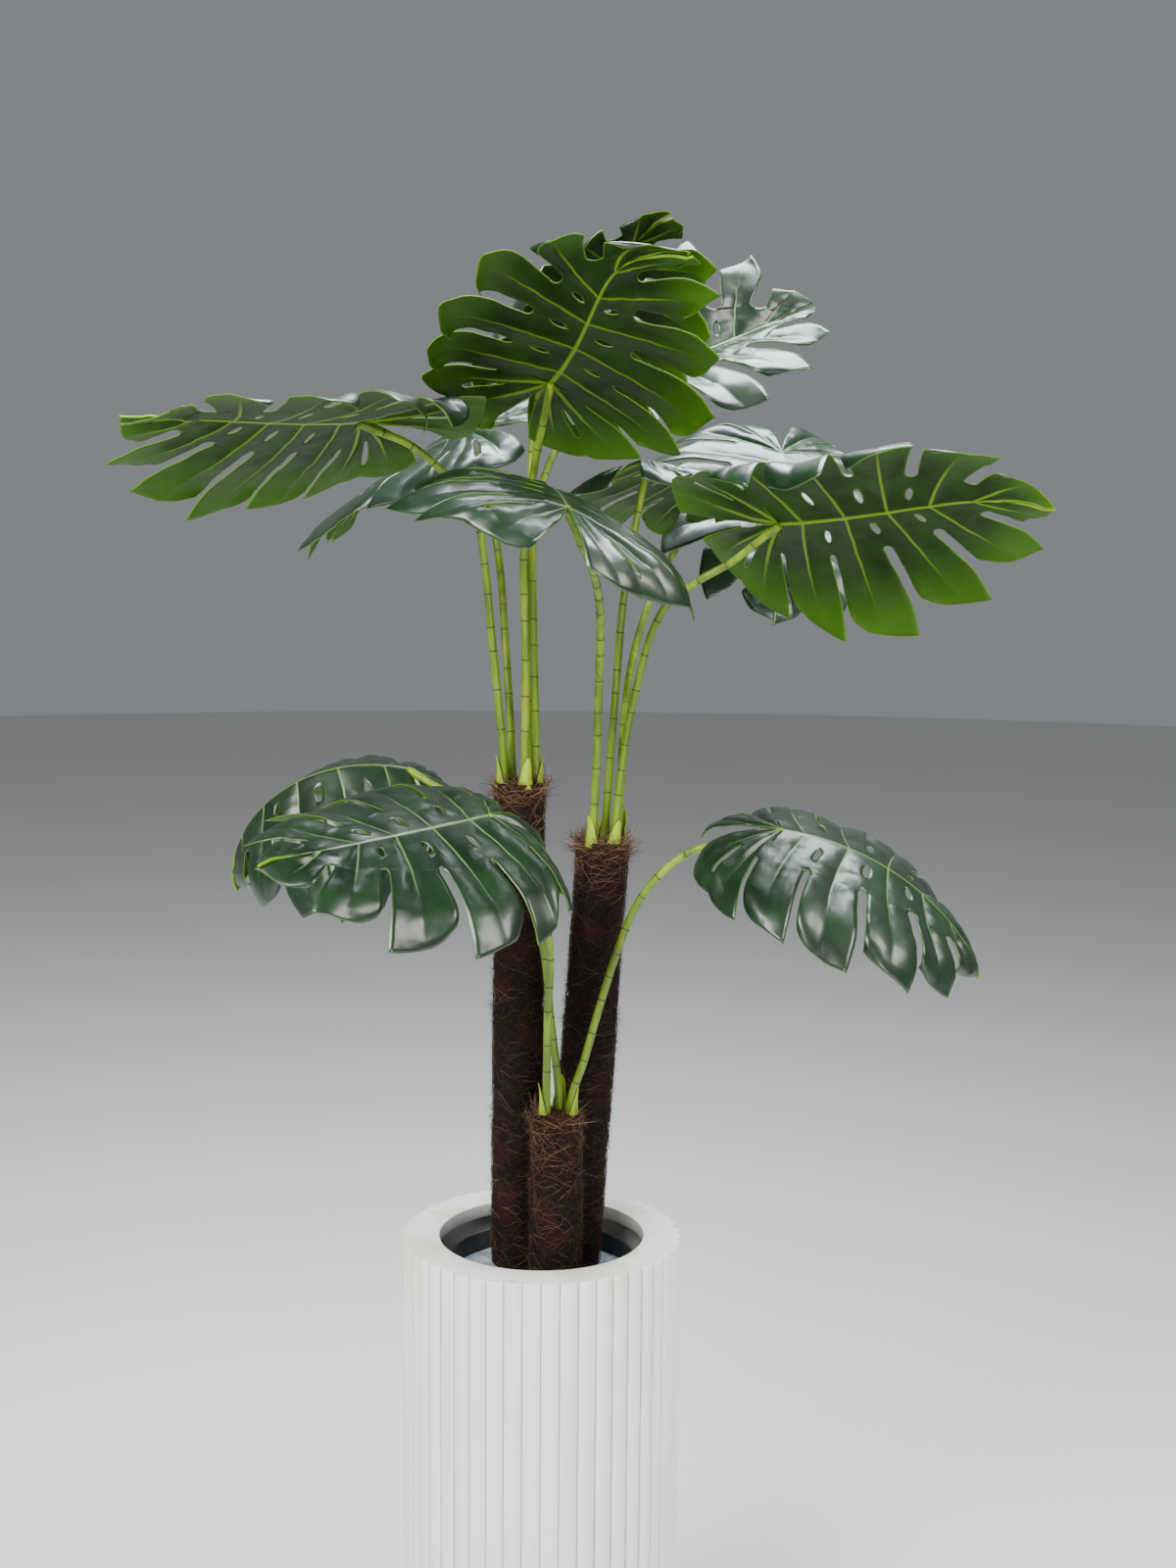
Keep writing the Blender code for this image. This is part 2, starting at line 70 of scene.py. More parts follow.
# Trunks: the axis from the pole's foot to the top, and the coir sleeves from the lowest
# up as (height of the upper end, radius)
TRUNKS = {
    "left": dict(
        foot=(-0.031, 0.020, 0.500), top=(-0.031, 0.020, 1.286),
        sleeves=((0.85, 0.0340), (0.99, 0.0330), (1.286, 0.0318)),
    ),
    "right": dict(
        foot=(0.032, 0.024, 0.500), top=(0.076, 0.030, 1.210),
        sleeves=((0.98, 0.0345), (1.210, 0.0330)),
    ),
    "front": dict(
        foot=(0.018, -0.046, 0.500), top=(0.018, -0.046, 0.875),
        sleeves=((0.79, 0.0335), (0.875, 0.0325)),
    ),
}
POLE_RADIUS = 0.026
COIR_CLEARANCE = 0.003

# Fibres that lie round each trunk, and those that stand at its top
FIBRE_COUNTS = {"left": (5200, 500), "right": (5000, 1000), "front": (2600, 300)}
FIBRE_SIDES = 3
FIBRE_LEVELS = 6

# Stalks
STALK_RADIUS = 0.0052
STALK_TIP_SHARE = 0.87
STALK_STEP = 0.006
STALK_SIDES = 14
SHEATH_HEIGHT = 0.045
NECK_BELOW_LEAF = 0.003
JOINT_SPACING = (0.028, 0.052)

# A joint's shape, as (distance past it, share of the radius)
JOINT_PROFILE = ((-0.0035, 1), (-0.0012, 1.08), (-0.0004, 1.06), (0, 0.93),
                 (0.0005, 1), (0.0035, 0.985))

# Leaf outline, for a leaf of size 1, from the junction with the stalk
HALF_WIDTH = 0.195
TIP_REACH = 0.325
LOBE_REACH = 0.125
WIDEST_AT = 0.070
SINUS_TURN = math.radians(173)
LOBES = 7
LOBES_AT_JUNCTION = 2
MIDRIB_SHARE = 0.84
VEIN_BOW = 0.10

# Cuts between lobes: start and end as shares of the way out, and half width as a share
# of a lobe. A cut that ends at 1 opens at the edge, and the others are long holes.
CUTS = {
    1: (0.42, 0.80, 0.070),
    2: (0.40, 1.00, 0.050),
    3: (0.38, 1.00, 0.060),
    4: (0.36, 1.00, 0.085),
    5: (0.34, 1.00, 0.105),
    6: (0.38, 1.00, 0.125),
}
OVALS = {3: (0.13, 0.26, 0.060), 4: (0.10, 0.23, 0.075), 5: (0.09, 0.21, 0.070)}
CORNER_OUT = 1.3
CORNER_BACK = 1.5
SCALLOP = 0.035
TIP_POINT = 0.22
CURL_START = 0.64

# Rows up to the oval hole, in it, from it to the cut, in the cut, and beyond it
ROW_COUNTS = (4, 6, 4, 16, 4)
COLUMNS = (0, 0.08, 0.17, 0.27, 0.37, 0.46, 0.5, 0.54, 0.63, 0.73, 0.83, 0.92, 1)

# Leaf relief
BLADE_THICKNESS = 0.0011
RIDGE_THICKNESS = 0.0034
VEIN_SINK = 0.004
PUFF = 0.0022
CREASE = 0.0012
EDGE_WAVE = 0.005
RIPPLE = 0.0016
VEIN_HALF_WIDTH = 0.0016
MIDRIB_HALF_WIDTH = 0.0024

# Leaves, as in the solids: the stalk's foot from its trunk's axis, what the stalk passes,
# the junction, and in degrees how the leaf is aimed, droops, folds and arches
LEAVES = {
    "top_front": dict(
        trunk="left", foot=(0.007, -0.019),
        way=((-0.024, -0.020, 1.472), (-0.026, -0.044, 1.575), (-0.015, -0.074, 1.669)),
        junction=(0.005, -0.125, 1.775), heading=-60, rise=22, roll=-20, size=0.93,
        droop=-2, lobe_droop=12, fold=(-8, -10), arch=(32, 32),
        curl=(30, 45), cut=1.25, bow=0.042,
    ),
    "top_back": dict(
        trunk="left", foot=(0.021, 0.000),
        way=((-0.014, 0.028, 1.469), (-0.016, 0.037, 1.573), (-0.017, 0.053, 1.713)),
        junction=(-0.005, 0.070, 1.815), heading=-57, rise=40, roll=-7, size=0.95,
        droop=23, lobe_droop=8, fold=(0, -6), arch=(77, 74),
        curl=(30, 30), cut=1.3, bow=0,
    ),
    "upper_right": dict(
        trunk="left", foot=(0.011, 0.019),
        way=((-0.016, 0.060, 1.467), (-0.017, 0.100, 1.578), (0.010, 0.162, 1.700)),
        junction=(0.100, 0.260, 1.802), heading=26, rise=18, roll=41, size=0.96,
        droop=-9, lobe_droop=-12, fold=(-33, -34), arch=(18, 17),
        curl=(35, 30), cut=1.4, bow=0,
    ),
    "left_front": dict(
        trunk="left", foot=(-0.020, -0.005),
        way=((-0.066, 0.000, 1.471), (-0.076, -0.018, 1.574), (-0.083, -0.027, 1.614),
             (-0.120, -0.043, 1.668), (-0.167, -0.059, 1.706)),
        junction=(-0.222, -0.079, 1.730), heading=229, rise=-4, roll=19, size=1.02,
        droop=-5, lobe_droop=35, fold=(9, 8), arch=(-6, 2),
        curl=(75, 25), curl_at=3.2, cut=1.0, bow=-0.01,
    ),
    "left_back": dict(
        trunk="left", foot=(-0.010, 0.017),
        way=((-0.051, 0.074, 1.466), (-0.061, 0.117, 1.571), (-0.089, 0.180, 1.692)),
        junction=(-0.108, 0.209, 1.729), heading=140, rise=-13, roll=-26, size=1.00,
        droop=27, lobe_droop=29, fold=(2, 3), arch=(-8, -4),
        curl=(35, 30), cut=1.0, bow=0,
    ),
    "middle_front": dict(
        trunk="right", foot=(-0.014, -0.018),
        way=((0.066, -0.070, 1.419), (0.064, -0.160, 1.510), (0.052, -0.270, 1.565),
             (0.038, -0.365, 1.592)),
        junction=(0.023, -0.407, 1.631), heading=93, rise=8, roll=24, size=0.99,
        droop=7, lobe_droop=34, fold=(1, -3), arch=(46, 27),
        curl=(25, 30), cut=1.0, bow=0,
    ),
    "right_front": dict(
        trunk="right", foot=(0.012, -0.016),
        way=((0.115, -0.010, 1.412), (0.147, -0.034, 1.510), (0.181, -0.047, 1.540),
             (0.225, -0.064, 1.567)),
        junction=(0.279, -0.096, 1.614), heading=-31, rise=3, roll=-37, size=0.99,
        droop=-2, lobe_droop=-2, fold=(-12, -12), arch=(45, 53),
        curl=(20, 75), curl_at=3.4, cut=0.9, bow=0.02,
    ),
    "middle_back": dict(
        trunk="right", foot=(0.002, 0.018),
        way=((0.091, 0.044, 1.407), (0.098, 0.040, 1.506), (0.112, 0.034, 1.605)),
        junction=(0.128, 0.030, 1.691), heading=65, rise=-8, roll=-5, size=0.78,
        droop=15, lobe_droop=38, fold=(19, 19), arch=(-9, -6),
        curl=(30, 30), cut=0.9, bow=0,
    ),
    "right_back": dict(
        trunk="right", foot=(0.019, 0.006),
        way=((0.108, 0.100, 1.402), (0.137, 0.190, 1.500), (0.176, 0.290, 1.568),
             (0.206, 0.360, 1.603), (0.285, 0.420, 1.675)),
        junction=(0.337, 0.397, 1.713), heading=-95, rise=-32, roll=-9, size=0.99,
        droop=24, lobe_droop=11, fold=(6, 5), arch=(7, 4),
        curl=(30, 30), cut=1.0, bow=0,
    ),
    "low_left": dict(
        trunk="front", foot=(-0.013, -0.006),
        way=((0.006, -0.073, 1.002), (0.007, -0.111, 1.109), (-0.017, -0.158, 1.202)),
        junction=(-0.063, -0.212, 1.279), heading=217, rise=-6, roll=-23, size=0.91,
        droop=-3, lobe_droop=73, fold=(9, 6), arch=(11, 14),
        curl=(35, 40), cut=0.65, bow=0,
    ),
    "low_left_back": dict(
        trunk="front", foot=(0.003, 0.014),
        way=((0.010, -0.034, 0.992), (-0.002, -0.038, 1.093), (-0.042, -0.038, 1.200),
             (-0.105, -0.008, 1.265)),
        junction=(-0.171, 0.028, 1.302), heading=188, rise=13, roll=-26, size=1.05,
        droop=104, lobe_droop=67, fold=(20, 21), arch=(18, 22),
        curl=(30, 30), cut=0.9, bow=0,
    ),
    "low_right": dict(
        trunk="front", foot=(0.018, -0.006),
        way=((0.053, -0.053, 0.947), (0.069, -0.056, 1.008), (0.095, -0.061, 1.094),
             (0.117, -0.065, 1.148), (0.155, -0.072, 1.196), (0.184, -0.080, 1.216)),
        junction=(0.287, -0.118, 1.249), heading=-11, rise=-7, roll=19, size=0.97,
        droop=60, lobe_droop=35, fold=(7, 6), arch=(26, 2),
        curl=(30, 45), cut=0.9, bow=0,
    ),
}

# Camera
EYE = (0, -2.5035, 1.6249)
EYE_YAW = math.radians(-1.265)
EYE_PITCH = math.radians(-7.69)
EYE_ROLL = math.radians(0.487)
LENS = 46.125


# Materials


class Field:
    """A value that varies over a surface. Arithmetic on it adds Math nodes."""

    def __init__(self, finish, socket):
        self.finish = finish
        self.socket = socket

    def maths(self, operation, *values):
        sockets = dict(enumerate(values))
        return self.finish.node("Math", sockets, operation=operation)

    def __add__(self, other):
        return self.maths("ADD", self, other)

    def __sub__(self, other):
        return self.maths("SUBTRACT", self, other)

    def __rsub__(self, other):
        return self.maths("SUBTRACT", other, self)

    def __mul__(self, other):
        return self.maths("MULTIPLY", self, other)

    def __truediv__(self, other):
        return self.maths("DIVIDE", self, other)

    def __pow__(self, other):
        return self.maths("POWER", self, other)

    __radd__ = __add__
    __rmul__ = __mul__

    def fraction(self):
        return self.maths("FRACT", self)

    def size(self):
        return self.maths("ABSOLUTE", self)

    def rising(self, low, high):
        """0 below low, 1 above high, and smooth between them."""
        sockets = {"Value": self, "From Min": low, "From Max": high}
        return self.finish.node("MapRange", sockets, interpolation_type="SMOOTHSTEP")

    def falling(self, low, high):
        return 1 - self.rising(low, high)


class Finish:
    """A material, with one method that adds its nodes."""

    def __init__(self, name, **constants):
        self.material = bpy.data.materials.new(name)
        self.material.use_nodes = True
        self.tree = self.material.node_tree
        self.shader = self.tree.nodes["Principled BSDF"]
        for socket, value in constants.items():
            self.shader.inputs[socket.replace("_", " ")].default_value = value

    def node(self, kind, sockets=None, output=0, **settings):
        """Adds a node, makes its settings, then feeds its sockets with values or links."""
        node = self.tree.nodes.new("ShaderNode" + kind)
        for key, value in settings.items():
            setattr(node, key, value)
        for key, value in (sockets or {}).items():
            self.feed(node.inputs[key], value)
        return Field(self, node.outputs[output])

    def feed(self, socket, value):
        if isinstance(value, Field):
            self.tree.links.new(value.socket, socket)
        else:
            socket.default_value = value

    def places(self):
        return self.node("TexCoord", output="Object")

    def stretched(self, scale):
        return self.node("Mapping", {"Vector": self.places(), "Scale": scale})

    def speckle(self, scale, detail=3, vector=None, roughness=0.5):
        sockets = {"Vector": vector or self.places(), "Scale": scale, "Detail": detail,
                   "Roughness": roughness}
        return self.node("TexNoise", sockets)

    def attribute(self, name):
        return self.node("Attribute", output="Fac", attribute_name=name)

    def mix(self, share, first, second):
        """A colour between two, each a link or (red, green, blue)."""
        sockets = {0: share}
        for key, colour in ((6, first), (7, second)):
            sockets[key] = colour if isinstance(colour, Field) else (*colour, 1)
        return self.node("Mix", sockets, output=2, data_type="RGBA")

    def bump(self, height, distance, strength=1.0, under=None):
        sockets = {"Height": height, "Distance": distance, "Strength": strength}
        if under is not None:
            sockets["Normal"] = under
        return self.node("Bump", sockets)

    def surface(self, **fields):
        """Feeds the shader's own sockets and gives the material."""
        for key, value in fields.items():
            self.feed(self.shader.inputs[key.replace("_", " ")], value)
        return self.material


def leaf_top_finish():
    finish = Finish("leaf_top", Specular_IOR_Level=0.6, Coat_Roughness=0.16)
    vein = finish.attribute("vein").falling(0.55, 1.15)
    rib = finish.attribute("rib").falling(0.6, 1.2)
    out = finish.attribute("out")
    rim = finish.attribute("rim")
    mottle = finish.speckle(18, 4)
    fine = finish.speckle(160, 3)
    green = finish.mix(mottle.rising(0.3, 0.75), (0.0016, 0.0130, 0.0030), (0.0045, 0.0300, 0.0060))
    green = finish.mix(rim.falling(0.0, 0.0014) * 0.5, green, (0.07, 0.17, 0.04))
    green = finish.mix(vein * out.falling(0.30, 0.70) * 0.75, green, (0.11, 0.22, 0.06))
    # Painted shade: past mid-way out the vein lines turn near black, shade painted into the vein
    # creases
    green = finish.mix(vein * out.rising(0.45, 0.75) * 0.7, green, (0.001, 0.005, 0.001))
    green = finish.mix(rib * 0.85, green, (0.11, 0.21, 0.03))
    rough = 0.24 + mottle * 0.16 + fine * 0.06 + vein * 0.08
    height = fine * 0.25 + finish.speckle(45, 2)
    return finish.surface(
        Base_Color=green, Roughness=rough, Coat_Weight=0.15 + mottle * 0.25,
        Normal=finish.bump(height, 0.0012, 0.35))


def leaf_underside_finish():
    finish = Finish("leaf_underside", Specular_IOR_Level=0.18)
    vein = finish.attribute("vein").falling(0.7, 1.6)
    rib = finish.attribute("rib").falling(0.8, 1.7)
    out = finish.attribute("out")
    rim = finish.attribute("rim")
    mottle = finish.speckle(20, 4)
    fine = finish.speckle(260, 3)
    green = finish.mix(mottle.rising(0.3, 0.75), (0.005, 0.022, 0.0004), (0.013, 0.052, 0.0006))
    # Painted light: the outer lobes lighter yellow-green, light shining through the blade painted
    # into its colour
    green = finish.mix(out.rising(0.45, 1.05) * 0.6, green, (0.050, 0.145, 0.001))
    # Painted light: a bright yellow-green band along the edge, light through the margin painted in
    green = finish.mix(rim.falling(0.0, 0.0020) * 0.6, green, (0.09, 0.21, 0.004))
    green = finish.mix(vein * out.falling(0.40, 0.90) * 0.85, green, (0.12, 0.24, 0.006))
    green = finish.mix(rib, green, (0.15, 0.28, 0.010))
    return finish.surface(
        Base_Color=green, Roughness=0.38 + mottle * 0.2,
        Normal=finish.bump(fine + mottle, 0.0006, 0.3))


def stalk_finish():
    finish = Finish("stalk", Specular_IOR_Level=0.5)
    ring = finish.attribute("ring")
    long_grain = finish.speckle(70, 4, finish.stretched((1, 1, 0.12)))
    blotch = finish.speckle(26, 3)
    green = finish.mix(long_grain.rising(0.35, 0.7), (0.085, 0.150, 0.0015), (0.22, 0.34, 0.004))
    green = finish.mix(blotch.rising(0.62, 0.72) * 0.55, green, (0.26, 0.24, 0.006))
    green = finish.mix(blotch.falling(0.28, 0.36) * 0.5, green, (0.05, 0.095, 0.003))
    green = finish.mix(ring.falling(0.0004, 0.0013) * 0.85, green, (0.020, 0.030, 0.003))
    return finish.surface(
        Base_Color=green, Roughness=0.34 + long_grain * 0.2,
        Normal=finish.bump(long_grain, 0.0005, 0.5))


def sheath_finish():
    finish = Finish("sheath", Specular_IOR_Level=0.5)
    grain = finish.speckle(90, 3, finish.stretched((1, 1, 0.1)))
    rim = finish.attribute("rim")
    green = finish.mix(grain.rising(0.3, 0.7), (0.22, 0.36, 0.003), (0.36, 0.52, 0.010))
    green = finish.mix(rim.falling(0.0, 0.0015) * 0.5, green, (0.18, 0.18, 0.02))
    return finish.surface(
        Base_Color=green, Roughness=0.42, Normal=finish.bump(grain, 0.0004, 0.5))


def coir_finish():
    finish = Finish("coir_mat", Specular_IOR_Level=0.25)
    strands = finish.speckle(120, 6, finish.stretched((1, 1, 0.35)), 0.7)
    across = finish.speckle(110, 6, finish.stretched((0.3, 0.3, 1.4)), 0.7)
    patch = finish.speckle(14, 3)
    brown = finish.mix(strands.rising(0.38, 0.68), (0.0018, 0.0008, 0.0006), (0.012, 0.0045, 0.0025))
    brown = finish.mix(across.rising(0.55, 0.72) * 0.5, brown, (0.018, 0.008, 0.004))
    brown = finish.mix(patch.rising(0.50, 0.62) * 0.7, brown, (0.032, 0.005, 0.003))
    return finish.surface(
        Base_Color=brown, Roughness=0.9, Normal=finish.bump(strands + across, 0.004, 1.0))


def fibre_finish():
    finish = Finish("coir_fibre", Specular_IOR_Level=0.35)
    tone = finish.attribute("tone")
    # Tone: random per fibre, raised near the trunk's top; that lift is partly paler fibres and
    # partly painted light, the lower trunk being in shade
    brown = finish.mix(tone.rising(0.0, 0.55), (0.0045, 0.0018, 0.0012), (0.046, 0.0165, 0.0080))
    brown = finish.mix(tone.rising(0.55, 0.95), brown, (0.30, 0.165, 0.080))
    return finish.surface(Base_Color=brown, Roughness=0.62)


def planter_finish():
    finish = Finish("planter_paint", Specular_IOR_Level=0.35)
    cloud = finish.speckle(5, 4)
    streak = finish.speckle(30, 4, finish.stretched((1, 1, 0.06)))
    grit = finish.speckle(420, 3)
    stain = finish.speckle(9, 5, finish.stretched((1, 1, 0.5)), 0.65)
    height = finish.node("SeparateXYZ", {"Vector": finish.places()}, output="Z")
    groove = finish.attribute("groove")
    white = finish.mix(cloud.rising(0.3, 0.7), (0.80, 0.795, 0.775), (0.87, 0.865, 0.85))
    white = finish.mix(streak.rising(0.52, 0.75) * 0.35, white, (0.58, 0.57, 0.54))
    near_rim = height.rising(PLANTER_HEIGHT - 0.12, PLANTER_HEIGHT)
    white = finish.mix(stain.rising(0.50, 0.62) * near_rim * 0.5, white, (0.56, 0.55, 0.40))
    white = finish.mix(stain.falling(0.30, 0.40) * 0.25, white, (0.60, 0.63, 0.66))
    # Painted shade: dark lines down the reed grooves, shade painted into the recesses
    white = finish.mix(groove.falling(0.0, 0.0016) * 0.8, white, (0.25, 0.245, 0.235))
    return finish.surface(
        Base_Color=white, Roughness=0.62 + grit * 0.16,
        Normal=finish.bump(grit * 0.6 + streak, 0.0008, 0.5))


def nursery_finish():
    finish = Finish("nursery_plastic", Specular_IOR_Level=0.4)
    grit = finish.speckle(300, 3)
    dust = finish.speckle(14, 4)
    black = finish.mix(dust.rising(0.45, 0.75), (0.012, 0.012, 0.014), (0.045, 0.045, 0.048))
    return finish.surface(
        Base_Color=black, Roughness=0.42 + dust * 0.25, Normal=finish.bump(grit, 0.0005, 0.4))


def fill_finish():
    finish = Finish("hardened_fill", Specular_IOR_Level=0.3)
    lump = finish.speckle(40, 5, roughness=0.65)
    grit = finish.speckle(320, 3)
    grey = finish.mix(lump.rising(0.3, 0.7), (0.13, 0.15, 0.175), (0.27, 0.30, 0.33))
    grey = finish.mix(grit.rising(0.6, 0.75) * 0.4, grey, (0.30, 0.31, 0.32))
    return finish.surface(
        Base_Color=grey, Roughness=0.8, Normal=finish.bump(lump + grit * 0.4, 0.003, 0.8))


def floor_finish():
    finish = Finish("floor", Base_Color=(0.72, 0.72, 0.71, 1), Roughness=0.75)
    return finish.surface(Base_Color=finish.mix(
        finish.speckle(1.5, 2), (0.70, 0.70, 0.69), (0.74, 0.74, 0.73)))


# Pieces


def add_piece(name, bm, finishes, replaced=()):
    """Makes a piece of a bmesh, in place, that rides on the plant's one body."""
    mesh = bpy.data.meshes.new(name)
    bm.to_mesh(mesh)
    bm.free()
    for finish in finishes:
        mesh.materials.append(finish)
    piece = bpy.data.objects.new(name, mesh)
    bpy.context.scene.collection.objects.link(piece)
    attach(piece, "root")
    if replaced:
        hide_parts(*replaced)
    return piece


def smooth(bm, angle=None):
    """Shades every face smooth, and keeps edges sharper than the angle."""
    for face in bm.faces:
        face.smooth = True
    if angle is not None:
        for edge in bm.edges:
            edge.smooth = not (edge.is_manifold and edge.calc_face_angle() > angle)


def extruded_ring(bm, ring):
    """Extrudes a ring of vertices and gives the new ring."""
    inside = set(ring)
    edges = {edge for vert in ring for edge in vert.link_edges
             if edge.other_vert(vert) in inside}
    made = bmesh.ops.extrude_edge_only(bm, edges=list(edges))["geom"]
    return [item for item in made if isinstance(item, bmesh.types.BMVert)]


def straight_tube(bm, sides, levels):
    """A closed tube of radius 1 along Z, with a ring at each whole height from 0."""
    ring = bmesh.ops.create_circle(bm, cap_ends=True, segments=sides, radius=1)["verts"]
    for level in range(1, levels):
        ring = extruded_ring(bm, ring)
        for vert in ring:
            vert.co.z = level
    bmesh.ops.holes_fill(bm, edges=[edge for edge in bm.edges if edge.is_boundary])
    bmesh.ops.recalc_face_normals(bm, faces=bm.faces)


def spun(bm, rings, steps):
    """Spins a profile of (radius, height) points round the Z axis into a closed shape."""
    profile = [bm.verts.new((radius, 0, height)) for radius, height in rings]
    edges = [bm.edges.new(pair) for pair in zip(profile, profile[1:])]
    bmesh.ops.spin(
        bm, geom=profile + edges, cent=(0, 0, 0), axis=(0, 0, 1), angle=math.tau,
        steps=steps, use_merge=True)
    bmesh.ops.remove_doubles(bm, verts=bm.verts, dist=0.00001)
    bmesh.ops.recalc_face_normals(bm, faces=bm.faces)


# Planter, nursery pot and fill


def reed_depth(angle):
    """How far the reeded wall stands back at an angle: round reeds with sharp grooves."""
    share = (REED_COUNT * angle / math.tau) % 1
    return REED_DEPTH * (1 - math.sin(math.pi * share) ** 0.75)


def make_planter(finish):
    top = PLANTER_HEIGHT
    under_shelf = SHELF_TOP - SHELF_THICKNESS
    # Radius, height and how much of the reeding shows
    rings = [(PLANTER_RADIUS - 0.0015, 0, 1), (PLANTER_RADIUS, 0.0015, 1)]
    rings += [(PLANTER_RADIUS, 0.004 + (top - 0.008) * step / 24, 1) for step in range(25)]
    rings += [
        (PLANTER_RADIUS - 0.0002, top - 0.0007, 1), (PLANTER_RADIUS - 0.0009, top, 1),
        (PLANTER_RADIUS - 0.0025, top, 1), (PLANTER_RADIUS - 0.0120, top, 0.2),
        (PLANTER_RADIUS - 0.0180, top, 0),
        (OPENING_RADIUS + 0.0012, top, 0), (OPENING_RADIUS + 0.0003, top - 0.0004, 0),
        (OPENING_RADIUS, top - 0.0014, 0), (OPENING_RADIUS, top - LIP_HEIGHT + 0.001, 0),
        (OPENING_RADIUS + 0.001, top - LIP_HEIGHT, 0), (CAVITY_RADIUS, top - LIP_HEIGHT, 0),
        (CAVITY_RADIUS, SHELF_TOP, 0), (DRAIN_RADIUS, SHELF_TOP, 0),
        (DRAIN_RADIUS, under_shelf, 0), (CAVITY_RADIUS, under_shelf, 0),
        (CAVITY_RADIUS, BASE_THICKNESS, 0),
    ]
    bm = bmesh.new()
    groove = bm.verts.layers.float.new("groove")
    straight_tube(bm, REED_COUNT * POINTS_PER_REED, len(rings))
    for vert in bm.verts:
        radius, height, reeding = rings[round(vert.co.z)]
        angle = math.atan2(vert.co.y, vert.co.x)
        reach = radius - reed_depth(angle) * reeding
        if reeding:
            reach -= abs(noise.noise(Vector((vert.co.x, vert.co.y, height * 3)) * 2)) * 0.0004
        vert.co = (math.cos(angle) * reach, math.sin(angle) * reach, height)
        # Distance to the nearest groove, where the paint lays a painted shade line
        share = (REED_COUNT * angle / math.tau) % 1
        apart = min(share, 1 - share) * math.tau * PLANTER_RADIUS / REED_COUNT
        vert[groove] = apart if reeding == 1 else 1
    bmesh.ops.recalc_face_normals(bm, faces=bm.faces)
    smooth(bm, math.radians(50))
    add_piece("planter_shell", bm, [finish], ["planter"])


def nursery_radius(height):
    share = (height - NURSERY_FOOT) / (NURSERY_RIM - NURSERY_FOOT)
    return NURSERY_FOOT_RADIUS + (NURSERY_RIM_RADIUS - NURSERY_FOOT_RADIUS) * share


def make_nursery_pot(finish):
    floor = NURSERY_FOOT + NURSERY_FLOOR
    lip_foot = NURSERY_RIM - NURSERY_LIP_HEIGHT
    lip_reach = nursery_radius(NURSERY_RIM) + NURSERY_LIP
    rings = [(0, floor), (nursery_radius(floor) - NURSERY_WALL, floor)]
    rings.append((nursery_radius(NURSERY_RIM) - NURSERY_WALL, NURSERY_RIM - 0.001))
    bead = 0.0022
    for step in range(7):
        turn = math.pi * (1 - step / 6)
        rings.append((lip_reach - bead + bead * math.cos(turn),
                      NURSERY_RIM - bead + bead * math.sin(turn)))
    rings += [
        (lip_reach, lip_foot), (lip_reach - 0.0015, lip_foot),
        (lip_reach - 0.0015, lip_foot + 0.003), (nursery_radius(lip_foot), lip_foot + 0.003),
        (nursery_radius(NURSERY_FOOT + 0.01), NURSERY_FOOT + 0.01),
        (NURSERY_FOOT_RADIUS - 0.002, NURSERY_FOOT), (0, NURSERY_FOOT),
    ]
    bm = bmesh.new()
    spun(bm, rings, 96)
    smooth(bm, math.radians(35))
    add_piece("nursery_pot_shell", bm, [finish], ["nursery_pot"])


def make_fill(finish):
    """A lumpy top over plain sides, a little lower at the wall than round the poles."""
    foot = NURSERY_FOOT + NURSERY_FLOOR + 0.0003
    inset = NURSERY_WALL + 0.0003
    edge = nursery_radius(FILL_TOP) - inset
    rings = [(edge * step / 34, FILL_TOP) for step in range(35)]
    rings += [(nursery_radius(foot) - inset, foot), (0, foot)]
    bm = bmesh.new()
    spun(bm, rings, 120)
    for vert in bm.verts:
        reach = vert.co.xy.length
        if vert.co.z > FILL_TOP - 0.001:
            lump = noise.noise(vert.co * 34) * 0.0024 + noise.noise(vert.co * 110) * 0.0009
            vert.co.z += lump - 0.0035 * (reach / edge) ** 3
    smooth(bm, math.radians(60))
    add_piece("fill_top", bm, [finish], ["fill"])


# Trunks


def trunk_frame(trunk):
    foot, top = Vector(trunk["foot"]), Vector(trunk["top"])
    turn = Vector((0, 0, 1)).rotation_difference(top - foot).to_matrix().to_4x4()
    return Matrix.Translation(foot) @ turn


def trunk_length(trunk):
    return (Vector(trunk["top"]) - Vector(trunk["foot"])).length


def coir_foot(trunk):
    return FILL_TOP + COIR_CLEARANCE - trunk["foot"][2]


def sleeve_radius(trunk, along):
    """The coir's radius at a distance from the pole's foot, with soft sleeve edges."""
    slope = (trunk["top"][2] - trunk["foot"][2]) / trunk_length(trunk)
    height = trunk["foot"][2] + along * slope
    radius = trunk["sleeves"][-1][1]
    for end, reach in reversed(trunk["sleeves"][:-1]):
        radius += (reach - radius) * min(1, max(0, (end + 0.002 - height) / 0.004))
    return radius


def make_trunk_body(name, finish):
    trunk = TRUNKS[name]
    length = trunk_length(trunk)
    start = coir_foot(trunk)
    stations = [(0, POLE_RADIUS), (start, POLE_RADIUS)]
    steps = round((length - start) / 0.005)
    for step in range(steps + 1):
        along = start + (length - start) * step / steps
        stations.append((along, sleeve_radius(trunk, along)))
    stations.append((length + 0.0005, sleeve_radius(trunk, length) * 0.55))
    bm = bmesh.new()
    straight_tube(bm, 48, len(stations))
    for vert in bm.verts:
        number = round(vert.co.z)
        along, reach = stations[number]
        if 1 < number < len(stations) - 1:
            spot = Vector((vert.co.x * 0.03, vert.co.y * 0.03, along))
            rough = noise.noise(spot * 60) * 0.0012 + noise.noise(spot * 200) * 0.0007
            reach += rough - 0.0010
        vert.co = (vert.co.x * reach, vert.co.y * reach, along)
    bmesh.ops.transform(bm, matrix=trunk_frame(trunk), verts=bm.verts)
    smooth(bm, math.radians(50))
    add_piece("trunk_body_" + name, bm, [finish], ["trunk_" + name])


